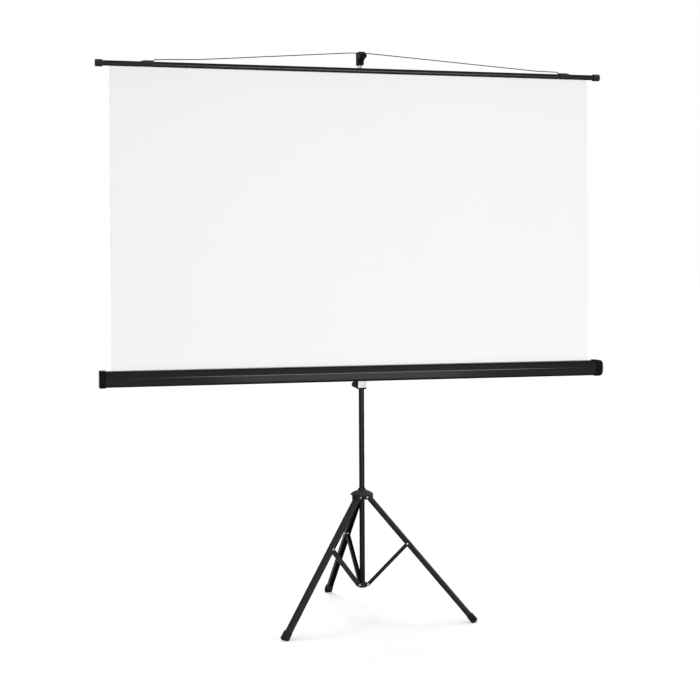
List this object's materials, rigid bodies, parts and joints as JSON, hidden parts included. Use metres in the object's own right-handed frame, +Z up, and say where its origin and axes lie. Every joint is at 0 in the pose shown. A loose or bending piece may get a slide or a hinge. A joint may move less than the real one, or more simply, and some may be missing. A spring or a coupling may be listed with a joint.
{
  "type": "tripod projection screen",
  "caption": "Portable pull-up projection screen: white roller fabric in a black casing on a mast, hung by a wire bail from a hooked extension, on a folding tripod.",
  "frame": {"origin": "on the floor, on the axis of the mast", "axes": "+Z up along the mast, -Y towards the viewer of the screen, +X along the casing to the viewer's right"},
  "size_m": [1.899, 0.6756, 2.081],
  "materials": {
    "black_steel": "satin",
    "casing_paint": "satin",
    "bar_gloss": "gloss",
    "black_plastic": "fine grain",
    "chrome": "polished",
    "bright_steel": "zinc plated",
    "bail_wire": "dark wire",
    "rubber": "matt",
    "screen": "matt white"
  },
  "bodies": {
    "stand": {"mast_tube": "black_steel", "mast_plug": "black_plastic", "guide_bush": "black_plastic", "lower_collar": "black_plastic", "collar_rivets": "bright_steel", "mast_clamp": "chrome", "clamp_screw": "bright_steel", "casing_shell": "casing_paint", "casing_cap_left": "black_plastic", "casing_cap_right": "black_plastic", "tongue_screws": "bright_steel", "cap_screws": "bright_steel", "spring_shaft": "bright_steel", "idle_pin": "bright_steel", "spring_anchor": "black_plastic", "roller_spring": "bright_steel"},
    "lock": {"lock_knob": "black_plastic", "knob_stud": "bright_steel"},
    "roller": {"roller_tube": "bright_steel", "roller_plug_left": "black_plastic", "roller_plug_right": "black_plastic", "fabric_roll": "screen"},
    "extension": {"extension_tube": "chrome", "extension_guide": "black_plastic", "head_hook": "black_plastic", "hook_pin": "bright_steel", "top_bar": "bar_gloss", "hem_rod": "bright_steel", "bar_cap_left": "black_plastic", "bar_cap_right": "black_plastic", "wire_clips": "black_plastic", "screen_fabric": "screen"},
    "bail": {"wire_bail": "bail_wire"},
    "slider": {"hub": "black_plastic", "hub_rivets": "bright_steel"},
    "leg_body_1": {"leg_1": "black_steel", "leg_tip_1": "rubber", "link_rivet_1": "bright_steel"},
    "brace_body_1": {"brace_1": "black_steel"},
    "leg_body_2": {"leg_2": "black_steel", "leg_tip_2": "rubber", "link_rivet_2": "bright_steel"},
    "brace_body_2": {"brace_2": "black_steel"},
    "leg_body_3": {"leg_3": "black_steel", "leg_tip_3": "rubber", "link_rivet_3": "bright_steel"},
    "brace_body_3": {"brace_3": "black_steel"}
  },
  "joints": [
    {"name": "tripod_fold", "type": "hinge", "parent": "stand", "child": "brace_body_1", "pos_m": [-0.01884, -0.01319, 0.124], "axis": [-0.5736, 0.8192, 0], "range_deg": [0, 43.47]},
    {"name": "leg_1_turn", "type": "hinge", "parent": "brace_body_1", "child": "leg_body_1", "pos_m": [-0.13933, -0.09756, 0.27916], "axis": [0.5736, -0.8192, 0], "range_deg": [0, 84.88]},
    {"name": "hub_level", "type": "hinge", "parent": "leg_body_1", "child": "slider", "pos_m": [-0.01884, -0.01319, 0.446], "axis": [-0.5736, 0.8192, 0], "range_deg": [0, 41.41]},
    {"name": "leg_2_turn", "type": "hinge", "parent": "slider", "child": "leg_body_2", "pos_m": [0.02084, -0.00972, 0.446], "axis": [0.4226, 0.9063, 0], "range_deg": [0, 41.41]},
    {"name": "leg_3_turn", "type": "hinge", "parent": "slider", "child": "leg_body_3", "pos_m": [-0.002, 0.02291, 0.446], "axis": [-0.9962, -0.0872, 0], "range_deg": [0, 41.41]},
    {"name": "brace_2_turn", "type": "hinge", "parent": "stand", "child": "brace_body_2", "pos_m": [0.02084, -0.00972, 0.124], "axis": [-0.4226, -0.9063, 0], "range_deg": [0, 43.48]},
    {"name": "brace_3_turn", "type": "hinge", "parent": "stand", "child": "brace_body_3", "pos_m": [-0.002, 0.02291, 0.124], "axis": [0.9962, 0.0872, 0], "range_deg": [0, 43.48]},
    {"name": "extension_slide", "type": "slide", "parent": "stand", "child": "extension", "axis": [0, 0, 1], "range_m": [-0.596, 0.06], "deforming": ["screen_fabric"]},
    {"name": "roller_spin", "type": "hinge", "parent": "stand", "child": "roller", "pos_m": [0, -0.0388, 0.904], "axis": [1, 0, 0], "range_deg": [-1828, 185]},
    {"name": "bail_swing", "type": "hinge", "parent": "extension", "child": "bail", "pos_m": [0, -0.01955, 2.0227], "axis": [1, 0, 0], "range_deg": [0, 110]},
    {"name": "knob_turn", "type": "hinge", "parent": "stand", "child": "lock", "pos_m": [0, 0, 0.861], "axis": [-1, 0, 0], "range_deg": [0, 270]}
  ],
  "couplings": [
    {"joint": "leg_1_turn", "follows": "tripod_fold", "ratio": 1.9524},
    {"joint": "hub_level", "follows": "tripod_fold", "ratio": 0.95238},
    {"joint": "leg_2_turn", "follows": "tripod_fold", "ratio": 0.95238},
    {"joint": "leg_3_turn", "follows": "tripod_fold", "ratio": 0.95238},
    {"joint": "brace_2_turn", "follows": "tripod_fold", "ratio": 1},
    {"joint": "brace_3_turn", "follows": "tripod_fold", "ratio": 1},
    {"joint": "roller_spin", "follows": "extension_slide", "rad_per_m": 53.476}
  ]
}
